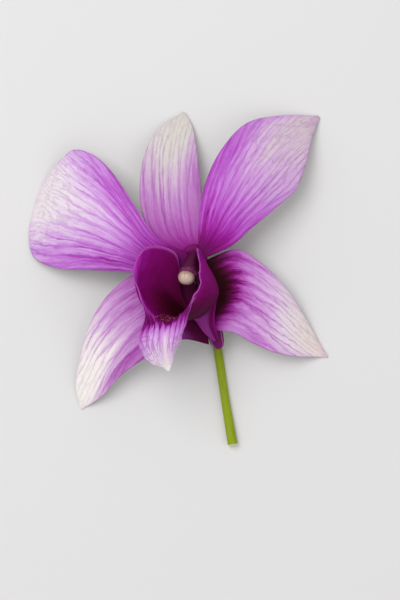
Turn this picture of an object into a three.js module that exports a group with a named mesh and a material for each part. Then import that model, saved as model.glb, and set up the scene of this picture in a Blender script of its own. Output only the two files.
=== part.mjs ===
// A single dendrobium orchid flower, picked with its stalk and lying face up on a table.
//
// Units are millimetres and +Z is up. The flower is laid out around its heart, the point over the
// ovary where every organ meets: +Y runs towards the tip of the dorsal sepal, +X to the flower's own
// left as it is looked at from above, and Z is the height above the table. At the end the whole
// flower is moved so that the origin is the centre of its bounding box, on the table.
//
// Three sepals form the outer whorl and two petals the inner one. The lip is the third petal. The
// column stands over it and carries the anther cap, which hides four pollinia. The mentum is the
// chin that the column foot makes behind the lip, and the lip's claw springs from its end.

import * as THREE from "three";

// ---- driving dimensions -------------------------------------------------------------------------

const sepalThickness = 0.6;
const petalThickness = 0.6;
const lipThickness = 0.6;
const marginShare = 0.6; // a blade's thickness at its margin, as a share of its thickness inside

const capRadius = 2.05; // half the anther cap's width
const capHeight = 2.1;
const capWall = 0.5;
const capFlatness = 0.92; // the cap is a little shorter than it is wide

const pollinium = { width: 0.56, length: 1.15, height: 0.8, gap: 0.08 };

// ---- materials ----------------------------------------------------------------------------------

const skin = (colour, roughness) => new THREE.MeshStandardMaterial({ color: colour, roughness, metalness: 0 });

const materials = {
  sepal: skin(0xd0a3d4, 0.5),
  petal: skin(0xc583cf, 0.5),
  lip: skin(0x7a1068, 0.45),
  column: skin(0x6a0c50, 0.4),
  mentum: skin(0x5c2346, 0.45),
  stalk: skin(0xa0ad50, 0.45),
  cap: skin(0xe6dcc4, 0.35),
  pollen: skin(0xe3b52e, 0.35),
};

// ---- surfaces -----------------------------------------------------------------------------------

const vector = (p) => new THREE.Vector3(...p);
const curveThrough = (points) => new THREE.CatmullRomCurve3(points);

// A smooth surface through a net of points. The net's rows run from the base of a blade to its tip,
// and each row runs across it from the left margin to the right one. Both u and v go from 0 to 1.
function surfaceThrough(net) {
  const lengthwise = net[0].map((_, j) => curveThrough(net.map((row) => vector(row[j]))));
  return (u, v) => curveThrough(lengthwise.map((curve) => curve.getPoint(u))).getPoint(v);
}

// The unit normal on the side that a blade shows when its net is seen with its tip upwards.
function normalOf(surface, u, v) {
  const step = 0.01;
  const along = surface(Math.min(u + step, 1), v).sub(surface(Math.max(u - step, 0), v));
  const across = surface(u, Math.min(v + step, 1)).sub(surface(u, Math.max(v - step, 0)));
  return across.cross(along).normalize();
}

// Joins two skins of one grid, rows x columns points each, into one closed shell.
function shellGeometry(upper, lower, rows, columns) {
  const size = rows * columns;
  const faces = [];
  const quad = (a, b, c, d) => faces.push(a, b, c, a, c, d);
  for (let i = 0; i < rows - 1; i++) {
    for (let j = 0; j < columns - 1; j++) {
      const a = i * columns + j;
      const b = a + 1;
      const d = a + columns;
      const c = d + 1;
      quad(a, b, c, d);
      quad(size + a, size + d, size + c, size + b);
    }
  }
  const rim = [];
  for (let j = 0; j < columns - 1; j++) rim.push(j);
  for (let i = 0; i < rows - 1; i++) rim.push(i * columns + columns - 1);
  for (let j = columns - 1; j > 0; j--) rim.push((rows - 1) * columns + j);
  for (let i = rows - 1; i > 0; i--) rim.push(i * columns);
  rim.forEach((a, k) => {
    const b = rim[(k + 1) % rim.length];
    quad(b, a, size + a, size + b);
  });
  const positions = [...upper, ...lower].flatMap((p) => [p.x, p.y, p.z]);
  const geometry = new THREE.BufferGeometry();
  geometry.setAttribute("position", new THREE.Float32BufferAttribute(positions, 3));
  geometry.setIndex(faces);
  geometry.computeVertexNormals();
  return geometry;
}

// A thin blade of tissue through a net. Where the net dips to the table, the blade lies flat on it.
function bladeGeometry(net, thickness, rows, columns) {
  const surface = surfaceThrough(net);
  const upper = [];
  const lower = [];
  for (let i = 0; i < rows; i++) {
    for (let j = 0; j < columns; j++) {
      const u = i / (rows - 1);
      const v = j / (columns - 1);
      const fromMargin = 1 - Math.pow(Math.abs(2 * v - 1), 4);
      const half = (thickness / 2) * (marginShare + (1 - marginShare) * fromMargin);
      const middle = surface(u, v);
      const normal = normalOf(surface, u, v);
      const above = middle.clone().addScaledVector(normal, half);
      const below = middle.clone().addScaledVector(normal, -half);
      below.z = Math.max(below.z, 0);
      above.z = Math.max(above.z, 2 * half);
      upper.push(above);
      lower.push(below);
    }
  }
  return shellGeometry(upper, lower, rows, columns);
}

// A solid limb along a spine. Each station gives the spine's point and the limb's two half-widths:
// the first lies along the table and the second stands square to it and to the spine.
function limbGeometry(stations, steps, sides) {
  const spine = curveThrough(stations.map((s) => vector(s.at)));
  const widths = curveThrough(stations.map((s) => new THREE.Vector3(s.wide, s.deep, 0)));
  const positions = [];
  for (let i = 0; i <= steps; i++) {
    const t = i / steps;
    const centre = spine.getPoint(t);
    const ahead = spine.getTangent(t);
    const side = new THREE.Vector3(1, 0, 0).addScaledVector(ahead, -ahead.x).normalize();
    const up = side.clone().cross(ahead);
    const width = widths.getPoint(t);
    for (let k = 0; k < sides; k++) {
      const angle = (2 * Math.PI * k) / sides;
      const p = centre
        .clone()
        .addScaledVector(side, width.x * Math.cos(angle))
        .addScaledVector(up, width.y * Math.sin(angle));
      positions.push(p.x, p.y, Math.max(p.z, 0));
    }
  }
  const faces = [];
  for (let i = 0; i < steps; i++) {
    for (let k = 0; k < sides; k++) {
      const a = i * sides + k;
      const b = i * sides + ((k + 1) % sides);
      faces.push(a, a + sides, b + sides, a, b + sides, b);
    }
  }
  for (const [ring, point, facing] of [[0, spine.getPoint(0), 1], [steps, spine.getPoint(1), -1]]) {
    const middle = positions.length / 3;
    positions.push(point.x, point.y, point.z);
    for (let k = 0; k < sides; k++) {
      const a = ring * sides + k;
      const b = ring * sides + ((k + 1) % sides);
      faces.push(...(facing > 0 ? [middle, a, b] : [middle, b, a]));
    }
  }
  const geometry = new THREE.BufferGeometry();
  geometry.setAttribute("position", new THREE.Float32BufferAttribute(positions, 3));
  geometry.setIndex(faces);
  geometry.computeVertexNormals();
  return geometry;
}

function piece(name, geometry, material) {
  const mesh = new THREE.Mesh(geometry, material);
  mesh.name = name;
  return mesh;
}

// ---- the outer whorl: three sepals --------------------------------------------------------------

const dorsalSepalNet = [
  [[-3.2, 3.0, 10.7], [-1.1, 3.5, 10.5], [1.0, 3.1, 10.7]],
  [[-10.4, 5.7, 10.2], [-4.6, 6.6, 9.7], [1.7, 6.4, 10.2]],
  [[-13.2, 12.0, 9.0], [-6.1, 12.0, 8.3], [1.4, 12.0, 8.8]],
  [[-13.8, 19.7, 6.6], [-6.5, 19.7, 6.2], [0.7, 19.7, 6.4]],
  [[-12.2, 27.4, 3.6], [-6.1, 27.6, 3.8], [-0.1, 27.4, 3.6]],
  [[-8.5, 33.1, 1.2], [-4.8, 33.6, 1.5], [-1.2, 33.1, 1.2]],
  [[-3.6, 36.2, 0.2], [-3.2, 36.4, 0.2], [-2.7, 36.2, 0.2]],
];

const leftLateralSepalNet = [
  [[2.5, -19.8, 9.9], [0.7, -11.0, 10.6], [-3.1, -1.0, 10.7]],
  [[-3.4, -18.6, 9.8], [-6.5, -9.6, 10.8], [-10.8, -1.4, 10.4]],
  [[-8.9, -21.1, 9.2], [-13.0, -12.7, 9.8], [-17.5, -4.3, 9.2]],
  [[-14.4, -24.4, 7.8], [-18.5, -17.3, 8.2], [-22.6, -9.4, 7.4]],
  [[-18.7, -27.7, 5.8], [-22.8, -22.8, 6.0], [-26.2, -15.8, 5.2]],
  [[-22.3, -31.7, 3.4], [-25.7, -28.1, 3.5], [-28.3, -22.6, 2.8]],
  [[-25.9, -34.4, 1.0], [-27.8, -32.9, 1.1], [-29.4, -30.0, 0.8]],
  [[-27.7, -35.4, 0.0], [-28.1, -35.5, 0.0], [-28.5, -35.1, 0.0]],
];

const rightLateralSepalNet = [
  [[2.4, 0.3, 10.6], [3.4, -8.6, 10.6], [4.1, -16.3, 10.2]],
  [[9.4, 3.0, 9.6], [9.8, -6.7, 10.4], [8.4, -16.8, 9.8]],
  [[14.9, 0.2, 8.2], [15.1, -9.1, 9.2], [13.2, -19.4, 8.4]],
  [[19.7, -4.1, 6.2], [19.9, -12.7, 7.2], [18.5, -21.7, 6.4]],
  [[24.0, -10.0, 3.8], [24.2, -16.8, 4.6], [23.8, -22.7, 3.8]],
  [[27.6, -15.8, 1.5], [28.1, -20.2, 1.9], [28.1, -22.9, 1.4]],
  [[31.2, -22.2, 0.0], [31.6, -22.8, 0.1], [31.3, -23.0, 0.0]],
];

function sepals() {
  const blade = (name, net) => piece(name, bladeGeometry(net, sepalThickness, 19, 11), materials.sepal);
  return [
    blade("dorsal_sepal", dorsalSepalNet),
    blade("left_lateral_sepal", leftLateralSepalNet),
    blade("right_lateral_sepal", rightLateralSepalNet),
  ];
}

// ---- the inner whorl: two petals ----------------------------------------------------------------

const leftPetalNet = [
  [[-3.4, -1.2, 12.0], [-2.8, 0.6, 12.1], [-3.0, 2.4, 12.0]],
  [[-11.3, -2.9, 11.8], [-10.8, 1.4, 12.4], [-9.4, 5.8, 11.8]],
  [[-19.0, -2.3, 10.8], [-17.5, 5.8, 12.2], [-15.1, 13.9, 11.0]],
  [[-26.6, -1.9, 8.2], [-24.0, 10.3, 10.6], [-20.4, 21.6, 9.0]],
  [[-34.3, -1.3, 4.6], [-30.5, 13.7, 7.6], [-25.2, 26.0, 6.6]],
  [[-39.8, 1.4, 1.6], [-34.8, 16.1, 4.2], [-29.8, 27.1, 4.4]],
  [[-40.8, 7.2, 0.3], [-36.5, 17.5, 1.6], [-33.4, 24.5, 2.4]],
  [[-39.1, 14.4, 0.0], [-37.8, 18.0, 0.2], [-36.2, 21.1, 0.8]],
];

const rightPetalNet = [
  [[0.9, 3.3, 12.0], [1.9, 2.3, 12.1], [2.2, 0.6, 12.0]],
  [[0.3, 7.4, 11.7], [4.8, 6.9, 12.6], [8.4, 3.9, 12.0]],
  [[0.7, 13.0, 10.6], [7.7, 11.8, 12.6], [13.0, 8.0, 11.2]],
  [[2.2, 19.7, 8.8], [11.8, 17.8, 11.6], [18.5, 12.7, 9.8]],
  [[6.0, 27.2, 6.6], [15.6, 23.3, 9.6], [24.0, 17.8, 7.8]],
  [[12.2, 33.7, 4.6], [20.2, 28.6, 6.6], [26.4, 24.5, 5.4]],
  [[20.9, 35.7, 2.2], [24.7, 32.4, 3.4], [27.8, 30.0, 3.0]],
  [[29.2, 35.6, 0.1], [29.7, 35.2, 0.2], [29.5, 34.5, 0.4]],
];

function petals() {
  const blade = (name, net) => piece(name, bladeGeometry(net, petalThickness, 21, 13), materials.petal);
  return [blade("left_petal", leftPetalNet), blade("right_petal", rightPetalNet)];
}

// ---- the lip ------------------------------------------------------------------------------------

// Each row crosses the lip from its left margin, down the wall, over the floor and up to its right
// margin. The rows go from the claw, through the two side lobes, to the pointed midlobe.
const lipNet = [
  [[3.3, -18.6, 10.3], [3.8, -18.8, 10.0], [4.2, -18.9, 9.9], [4.7, -18.7, 10.0], [5.0, -18.3, 10.3]],
  [[0.2, -15.0, 13.0], [1.0, -15.8, 12.5], [2.2, -15.8, 12.3], [3.4, -15.0, 12.5], [4.2, -13.6, 13.1]],
  [[-3.6, -7.5, 13.2], [-3.2, -11.2, 13.2], [0.3, -13.6, 13.8], [3.8, -10.8, 13.9], [4.6, -6.0, 14.4]],
  [[-5.2, 2.2, 14.2], [-9.2, -6.0, 14.9], [-1.8, -13.6, 16.2], [4.9, -7.8, 16.5], [0.1, 3.3, 16.4]],
  [[-12.2, 3.4, 16.8], [-13.4, -6.5, 17.6], [-4.4, -14.2, 19.0], [3.6, -8.2, 19.6], [0.5, -1.2, 20.2]],
  [[-15.1, -2.6, 19.2], [-13.0, -9.6, 20.3], [-6.3, -14.6, 21.2], [0.9, -9.0, 21.8], [0.8, -4.6, 22.3]],
  [[-12.3, -12.7, 22.2], [-10.2, -14.2, 22.4], [-7.2, -15.0, 22.8], [-3.8, -13.0, 23.2], [-1.4, -10.4, 23.6]],
  [[-13.7, -18.4, 23.0], [-10.8, -18.3, 23.9], [-7.6, -18.6, 24.0], [-5.2, -17.6, 24.2], [-3.0, -16.2, 23.6]],
  [[-12.4, -22.9, 22.2], [-9.8, -22.4, 23.0], [-7.4, -22.4, 23.0], [-5.8, -21.6, 23.0], [-4.6, -20.2, 22.4]],
  [[-7.6, -25.1, 21.4], [-7.1, -25.6, 21.3], [-6.8, -25.9, 21.2], [-6.5, -25.6, 21.3], [-6.2, -24.6, 21.5]],
];

function lip() {
  return piece("labellum", bladeGeometry(lipNet, lipThickness, 28, 19), materials.lip);
}

// ---- the column, its cap and the pollinia -------------------------------------------------------

const columnTip = vector([-2.3, -3.3, 19.0]);
const columnStations = [
  { at: [-0.6, 1.2, 10.5], wide: 1.8, deep: 1.8 },
  { at: [-0.6, 1.0, 12.4], wide: 1.75, deep: 1.7 },
  { at: [-0.9, 0.3, 14.8], wide: 1.75, deep: 1.6 },
  { at: [-1.5, -1.2, 17.0], wide: 1.85, deep: 1.7 },
  { at: columnTip.toArray(), wide: 1.85, deep: 1.7 },
];
const capClearance = 0.3;

function column() {
  return piece("column", limbGeometry(columnStations, 14, 18), materials.column);
}

// The cap and what is under it share a frame whose +Z leaves the column's tip.
function capFrame() {
  const frame = new THREE.Group();
  const before = vector(columnStations.at(-2).at);
  const outwards = columnTip.clone().sub(before).normalize();
  frame.position.copy(columnTip).addScaledVector(outwards, capClearance);
  frame.quaternion.setFromUnitVectors(new THREE.Vector3(0, 0, 1), outwards);
  return frame;
}

// A hollow dome, open towards the column.
function antherCap() {
  const arc = (radius, height) => {
    const points = [];
    for (let k = 0; k <= 8; k++) {
      const angle = (Math.PI / 2) * (k / 8);
      points.push(new THREE.Vector2(radius * Math.cos(angle), height * Math.sin(angle)));
    }
    return points;
  };
  const outside = arc(capRadius, capHeight);
  const inside = arc(capRadius - capWall, capHeight - capWall).reverse();
  outside.at(-1).x = 0;
  inside[0].x = 0;
  const profile = [...inside, ...outside];
  const geometry = new THREE.LatheGeometry(profile, 24);
  geometry.rotateX(Math.PI / 2);
  geometry.scale(1, capFlatness, 1);
  return piece("anther_cap", geometry, materials.cap);
}

// Four waxy pollinia in two pairs, side by side under the cap.
function pollinia() {
  const pitch = pollinium.width + pollinium.gap;
  return [1, 2, 3, 4].map((number) => {
    const geometry = new THREE.SphereGeometry(0.5, 12, 8);
    const mesh = piece(`pollinium_${number}`, geometry, materials.pollen);
    mesh.scale.set(pollinium.width, pollinium.length, pollinium.height);
    mesh.position.set((number - 2.5) * pitch, 0, pollinium.height / 2 + pollinium.gap);
    return mesh;
  });
}

// ---- the mentum and the stalk -------------------------------------------------------------------

const mentumStations = [
  { at: [-0.1, -0.5, 8.3], wide: 1.1, deep: 1.1 },
  { at: [0.4, -2.2, 8.2], wide: 1.9, deep: 1.7 },
  { at: [2.0, -9.0, 8.1], wide: 2.2, deep: 1.8 },
  { at: [3.8, -15.6, 7.7], wide: 2.1, deep: 1.8 },
  { at: [4.9, -19.2, 7.3], wide: 1.7, deep: 1.6 },
  { at: [5.4, -20.9, 7.0], wide: 0.9, deep: 0.9 },
];

const stalkStations = [
  { at: [-0.6, 1.3, 10.1], wide: 1.7, deep: 1.7 },
  { at: [-0.5, 1.6, 8.4], wide: 1.55, deep: 1.55 },
  { at: [0.0, 0.8, 5.8], wide: 1.45, deep: 1.45 },
  { at: [0.7, -1.8, 3.4], wide: 1.35, deep: 1.3 },
  { at: [2.0, -6.0, 1.9], wide: 1.25, deep: 1.2 },
  { at: [3.4, -12.0, 1.25], wide: 1.15, deep: 1.1 },
  { at: [5.0, -21.0, 1.0], wide: 1.05, deep: 1.05 },
  { at: [6.8, -33.0, 1.0], wide: 1.05, deep: 1.05 },
  { at: [8.4, -42.6, 1.1], wide: 1.25, deep: 1.2 },
  { at: [8.7, -44.2, 1.15], wide: 1.25, deep: 1.2 },
];

function mentum() {
  return piece("mentum", limbGeometry(mentumStations, 18, 16), materials.mentum);
}

function stalk() {
  return piece("pedicel_with_ovary", limbGeometry(stalkStations, 44, 12), materials.stalk);
}

// ---- the flower ---------------------------------------------------------------------------------

function flower() {
  const group = new THREE.Group();
  const head = capFrame();
  head.add(antherCap(), ...pollinia());
  group.add(...sepals(), ...petals(), lip(), column(), head, mentum(), stalk());
  const box = new THREE.Box3().setFromObject(group);
  const centre = box.getCenter(new THREE.Vector3());
  group.position.set(-centre.x, -centre.y, -box.min.z);
  return group;
}

export default flower();
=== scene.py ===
# The looks of a picked dendrobium orchid flower, built around its CAD frame.
import bpy
import numpy as np
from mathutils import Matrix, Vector


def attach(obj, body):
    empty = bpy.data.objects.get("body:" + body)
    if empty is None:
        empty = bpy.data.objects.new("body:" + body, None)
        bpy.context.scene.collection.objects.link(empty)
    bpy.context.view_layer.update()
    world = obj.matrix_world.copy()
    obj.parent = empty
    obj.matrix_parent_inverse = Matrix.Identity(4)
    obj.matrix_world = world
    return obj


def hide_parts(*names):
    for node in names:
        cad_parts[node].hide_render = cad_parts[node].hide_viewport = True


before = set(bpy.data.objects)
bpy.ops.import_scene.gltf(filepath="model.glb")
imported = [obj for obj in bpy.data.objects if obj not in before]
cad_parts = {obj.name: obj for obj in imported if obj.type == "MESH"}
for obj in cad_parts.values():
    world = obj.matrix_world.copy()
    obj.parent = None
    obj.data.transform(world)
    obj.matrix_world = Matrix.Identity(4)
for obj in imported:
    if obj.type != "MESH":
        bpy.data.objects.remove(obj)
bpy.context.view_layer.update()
mm = 0.001

# Where the flower's heart stands in the frame, in mm. Every net below is laid out from it.
heart = (4.5629, 3.9435, 0.0)
fullTurn = 6.283185  # radians


def placed(name, data):
    made = bpy.data.objects.new(name, data)
    bpy.context.scene.collection.objects.link(made)
    return made


# A smooth mesh from points in mm round the flower's heart.
def smoothMesh(name, points, faces):
    mesh = bpy.data.meshes.new(name)
    mesh.from_pydata(((points + np.array(heart)) * mm).tolist(), [], faces)
    mesh.polygons.foreach_set("use_smooth", [True] * len(faces))
    mesh.update()
    return mesh


# Stores one number for each point of a mesh, under the name that a paint or a growth reads.
def mark(mesh, name, values):
    layer = mesh.attributes.new(name, "FLOAT", "POINT")
    layer.data.foreach_set("value", np.asarray(values, np.float32))


# A colour as it looks on a screen, 0 to 255, in the linear values that Blender takes.
def tint(red, green, blue):
    def linear(value):
        value = value / 255
        return value / 12.92 if value <= 0.04045 else ((value + 0.055) / 1.055) ** 2.4
    return (linear(red), linear(green), linear(blue), 1.0)


# A material's node tree, with one short call per node.
class Paint:
    def __init__(self, name):
        self.material = bpy.data.materials.new(name)
        self.material.use_nodes = True
        self.tree = self.material.node_tree
        self.tree.nodes.clear()
        self.shader = self.tree.nodes.new("ShaderNodeBsdfPrincipled")
        self.output = self.tree.nodes.new("ShaderNodeOutputMaterial")
        self.tree.links.new(self.shader.outputs["BSDF"], self.output.inputs["Surface"])

    def put(self, value, socket):
        if isinstance(value, bpy.types.NodeSocket):
            self.tree.links.new(value, socket)
        else:
            socket.default_value = value

    def math(self, operation, a, b=0.0):
        node = self.tree.nodes.new("ShaderNodeMath")
        node.operation = operation
        for value, socket in zip((a, b), node.inputs):
            self.put(value, socket)
        return node.outputs[0]

    def add(self, a, b):
        return self.math("ADD", a, b)

    def sub(self, a, b):
        return self.math("SUBTRACT", a, b)

    def mul(self, a, b):
        return self.math("MULTIPLY", a, b)

    # 0 at low and 1 at high, with soft ends. low may be above high.
    def rise(self, value, low, high):
        node = self.tree.nodes.new("ShaderNodeMapRange")
        node.interpolation_type = "SMOOTHSTEP"
        self.put(value, node.inputs["Value"])
        flip = isinstance(low, (int, float)) and isinstance(high, (int, float)) and low > high
        self.put(high if flip else low, node.inputs["From Min"])
        self.put(low if flip else high, node.inputs["From Max"])
        node.inputs["To Min"].default_value = 1.0 if flip else 0.0
        node.inputs["To Max"].default_value = 0.0 if flip else 1.0
        return node.outputs["Result"]

    # Both parts of a UV map as two sockets.
    def uv(self, layer):
        node = self.tree.nodes.new("ShaderNodeUVMap")
        node.uv_map = layer
        split = self.tree.nodes.new("ShaderNodeSeparateXYZ")
        self.tree.links.new(node.outputs[0], split.inputs[0])
        return split.outputs[0], split.outputs[1]

    def attribute(self, name):
        node = self.tree.nodes.new("ShaderNodeAttribute")
        node.attribute_name = name
        return node.outputs["Fac"]

    def place(self):
        return self.tree.nodes.new("ShaderNodeTexCoord").outputs["Object"]

    def vector(self, x, y, z):
        node = self.tree.nodes.new("ShaderNodeCombineXYZ")
        for value, socket in zip((x, y, z), node.inputs):
            self.put(value, socket)
        return node.outputs[0]

    def noise(self, vector, scale=1.0, detail=2.0, roughness=0.5):
        node = self.tree.nodes.new("ShaderNodeTexNoise")
        self.put(vector, node.inputs["Vector"])
        node.inputs["Scale"].default_value = scale
        node.inputs["Detail"].default_value = detail
        node.inputs["Roughness"].default_value = roughness
        return node.outputs["Fac"]

    # Noise about 0 that changes at its own pace along x and along y.
    def drift(self, x, y, z, detail=2.0, roughness=0.5):
        return self.sub(self.noise(self.vector(x, y, z), 1.0, detail, roughness), 0.5)

    def cells(self, vector, scale):
        node = self.tree.nodes.new("ShaderNodeTexVoronoi")
        self.put(vector, node.inputs["Vector"])
        node.inputs["Scale"].default_value = scale
        return node.outputs["Distance"]

    # How far a point is from the nearest thread of a net of cells.
    def web(self, vector):
        node = self.tree.nodes.new("ShaderNodeTexVoronoi")
        node.feature = "DISTANCE_TO_EDGE"
        self.put(vector, node.inputs["Vector"])
        node.inputs["Scale"].default_value = 1.0
        return node.outputs["Distance"]

    # Makes a colour a little lighter and darker by a value that is 0.5 on average.
    def mottle(self, colour, value, depth):
        level = self.add(1.0 - depth / 2, self.mul(value, depth))
        return self.mix(1.0, colour, self.vector(level, level, level), "MULTIPLY")

    def chance(self, value):
        node = self.tree.nodes.new("ShaderNodeTexWhiteNoise")
        node.noise_dimensions = "1D"
        self.put(value, node.inputs["W"])
        return node.outputs["Value"]

    # stops is a list of (position, colour).
    def ramp(self, value, stops):
        node = self.tree.nodes.new("ShaderNodeValToRGB")
        self.put(value, node.inputs["Fac"])
        band = node.color_ramp
        while len(band.elements) < len(stops):
            band.elements.new(0.5)
        for element, (position, colour) in zip(band.elements, stops):
            element.position = position
            element.color = colour
        return node.outputs["Color"]

    def mix(self, share, first, second, blend="MIX"):
        node = self.tree.nodes.new("ShaderNodeMix")
        node.data_type = "RGBA"
        node.blend_type = blend
        self.put(share, node.inputs["Factor"])
        self.put(first, node.inputs[6])  # 6 and 7 are the two colours
        self.put(second, node.inputs[7])
        return node.outputs[2]

    def bump(self, height, depth, strength):
        node = self.tree.nodes.new("ShaderNodeBump")
        node.inputs["Distance"].default_value = depth
        node.inputs["Strength"].default_value = strength
        self.put(height, node.inputs["Height"])
        return node.outputs["Normal"]

    def finish(self, colour, roughness, normal=None, **constants):
        self.put(colour, self.shader.inputs["Base Color"])
        self.put(roughness, self.shader.inputs["Roughness"])
        if normal is not None:
            self.put(normal, self.shader.inputs["Normal"])
        for name, value in constants.items():
            self.shader.inputs[name.replace("_", " ")].default_value = value
        return self.material


# Points along a centripetal Catmull-Rom curve, for many curves at once. The points are [number, curves, 3].
def alongCurve(points, t):
    points = np.asarray(points, float)
    count = len(points)
    ends = (2 * points[0] - points[1], 2 * points[-1] - points[-2])
    row = np.concatenate([ends[0][None], points, ends[1][None]])
    place = np.clip(t, 0, 1) * (count - 1)
    first = np.minimum(place.astype(int), count - 2)
    w = (place - first).reshape((-1,) + (1,) * (points.ndim - 1))
    p0, p1, p2, p3 = (row[first + k] for k in range(4))

    def gap(a, b):
        return np.sqrt(np.linalg.norm(b - a, axis=-1, keepdims=True))
    d1 = np.maximum(gap(p1, p2), 1e-4)
    d0 = np.where(gap(p0, p1) < 1e-4, d1, gap(p0, p1))
    d2 = np.where(gap(p2, p3) < 1e-4, d1, gap(p2, p3))
    start = ((p1 - p0) / d0 - (p2 - p0) / (d0 + d1) + (p2 - p1) / d1) * d1
    end = ((p2 - p1) / d1 - (p3 - p1) / (d1 + d2) + (p3 - p2) / d2) * d1
    square = -3 * p1 + 3 * p2 - 2 * start - end
    cube = 2 * p1 - 2 * p2 + start + end
    return p1 + w * start + w ** 2 * square + w ** 3 * cube


# The smooth surface through a net, its unit normals and its width at each row.
def surfaceThrough(net, rows, columns):
    u = np.linspace(0, 1, rows)
    v = np.linspace(0, 1, columns)
    lengthwise = alongCurve(np.array(net, float), u)
    surface = alongCurve(lengthwise.transpose(1, 0, 2), v).transpose(1, 0, 2)
    normal = np.cross(np.gradient(surface, axis=1), np.gradient(surface, axis=0))
    normal /= np.maximum(np.linalg.norm(normal, axis=2, keepdims=True), 1e-9)
    width = np.linalg.norm(np.diff(surface, axis=1), axis=2).sum(1)
    return surface, normal, width, u[:, None] + 0 * v, 0 * u[:, None] + v


# One closed body from two skins. Each skin carries where it is on the blade, where it is in the fan of
# veins, and which side it is.
def bladeObject(name, upper, lower, blade, fan):
    rows, columns = upper.shape[:2]
    size = rows * columns
    index = np.arange(size).reshape(rows, columns)
    a, b = index[:-1, :-1].ravel(), index[:-1, 1:].ravel()
    c, d = index[1:, 1:].ravel(), index[1:, :-1].ravel()
    faces = [np.stack([a, b, c, d], 1), np.stack([a, d, c, b], 1) + size]
    rim = np.concatenate([index[0, :-1], index[:-1, -1], index[-1, :0:-1], index[:0:-1, 0]])
    onwards = np.roll(rim, -1)
    faces.append(np.stack([onwards, rim, rim + size, onwards + size], 1))
    faces = np.concatenate(faces)
    points = np.concatenate([upper.reshape(-1, 3), lower.reshape(-1, 3)])
    mesh = smoothMesh(name, points, faces.tolist())
    for layer, (x, y) in (("blade", blade), ("fan", fan)):
        both = np.stack([x.ravel(), y.ravel()], 1)
        both = np.concatenate([both, both])[faces.ravel()]
        mesh.uv_layers.new(name=layer).data.foreach_set("uv", both.astype(np.float32).ravel())
    mark(mesh, "back", np.repeat([0.0, 1.0], size))
    return placed(name, mesh)


# A node group with named inputs, and one short call per node.
class Growth:
    def __init__(self, name):
        self.group = bpy.data.node_groups.new(name, "GeometryNodeTree")
        self.sockets = {}

    def input(self, name, kind, value=None):
        socket = self.group.interface.new_socket(name, in_out="INPUT", socket_type=kind)
        if value is not None:
            socket.default_value = value
        self.sockets[name] = socket.identifier

    def output(self, name, kind):
        self.group.interface.new_socket(name, in_out="OUTPUT", socket_type=kind)

    def node(self, kind, **settings):
        made = self.group.nodes.new(kind)
        for name, value in settings.items():
            setattr(made, name, value)
        return made

    def link(self, a, b):
        self.group.links.new(a, b)

    # Stores a number on every point of a shape, and reads one back.
    def keep(self, geometry, name, value):
        made = self.node("GeometryNodeStoreNamedAttribute", data_type="FLOAT", domain="POINT")
        made.inputs["Name"].default_value = name
        self.link(geometry, made.inputs["Geometry"])
        self.link(value, made.inputs["Value"])
        return made.outputs["Geometry"]

    def read(self, name):
        made = self.node("GeometryNodeInputNamedAttribute", data_type="FLOAT")
        made.inputs["Name"].default_value = name
        return made.outputs["Attribute"]

    def math(self, operation, a, b=0.0):
        made = self.node("ShaderNodeMath", operation=operation)
        for value, socket in zip((a, b), made.inputs):
            if isinstance(value, bpy.types.NodeSocket):
                self.link(value, socket)
            else:
                socket.default_value = value
        return made.outputs[0]

    # Runs the group on an object and returns the result as a plain mesh object.
    def grow(self, source, name, **values):
        modifier = source.modifiers.new(name, "NODES")
        modifier.node_group = self.group
        for key, value in values.items():
            modifier[self.sockets[key]] = value
        source.update_tag()
        bpy.context.view_layer.update()
        evaluated = source.evaluated_get(bpy.context.evaluated_depsgraph_get())
        mesh = bpy.data.meshes.new_from_object(evaluated)
        source.modifiers.remove(modifier)
        mesh.name = name
        return placed(name, mesh)


# Seats a finished piece on the flower in place of its CAD node.
def seat(piece, material, slot, *nodes):
    if material:
        piece.data.materials.clear()
        piece.data.materials.append(material)
    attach(piece, "root")
    if nodes:
        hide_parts(*nodes)
    return piece


# What all five sepals and petals share, in mm. The last line is the finish: the grain's and the cells'
# scales are per metre and the relief is in metres, as a shader takes them.
tepalSkin = {
    "rows": 170, "columns": 104,
    "marginShare": 0.3,  # how thin a margin is beside the middle
    "grooveWidth": 0.7, "keelShare": 1.4,
    "grain": 1600.0, "grainDepth": 0.16, "cells": 9000.0, "relief": 0.00008,
}


# A blade with a groove over its midrib, a keel behind it, and margins that wave a little.
def tepal(spec):
    surface, normal, width, u, v = surfaceThrough(spec["net"], tepalSkin["rows"], tepalSkin["columns"])
    offset = (v - 0.5) * width[:, None]
    edge = np.abs(2 * v - 1)
    thin = tepalSkin["marginShare"]
    half = spec["thickness"] / 2 * (thin + (1 - thin) * np.sqrt(np.clip(1 - edge ** 5, 0, 1)))
    wave = np.zeros_like(u)
    for side, waves, phase in ((-1, spec["waves"][0], 0.3), (1, spec["waves"][1], 1.9)):
        reach = np.clip(side * (2 * v - 1), 0, 1) ** 3
        wave += reach * np.sin(np.pi * u) * np.sin(2 * np.pi * waves * u + phase)
    wave *= spec["waveHeight"]
    groove = spec["groove"] * np.exp(-(offset / tepalSkin["grooveWidth"]) ** 2)
    groove *= np.sin(np.pi * np.clip(u * 1.02, 0, 1)) ** 0.5
    upper = surface + normal * (half + wave - groove)[..., None]
    lower = surface - normal * (half - wave + groove * tepalSkin["keelShare"])[..., None]
    lower[..., 2] = np.maximum(lower[..., 2], 0.0)
    upper[..., 2] = np.maximum(upper[..., 2], 2 * half)
    widest = np.maximum.accumulate(width) * (1 + spec["spread"] * u[:, 0] ** 2)
    across = 0.5 + offset / widest[:, None]
    fanWidth = np.repeat(widest[:, None], u.shape[1], 1) / 100
    return bladeObject(spec["name"], upper, lower, (u, v), (across, fanWidth))


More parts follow.
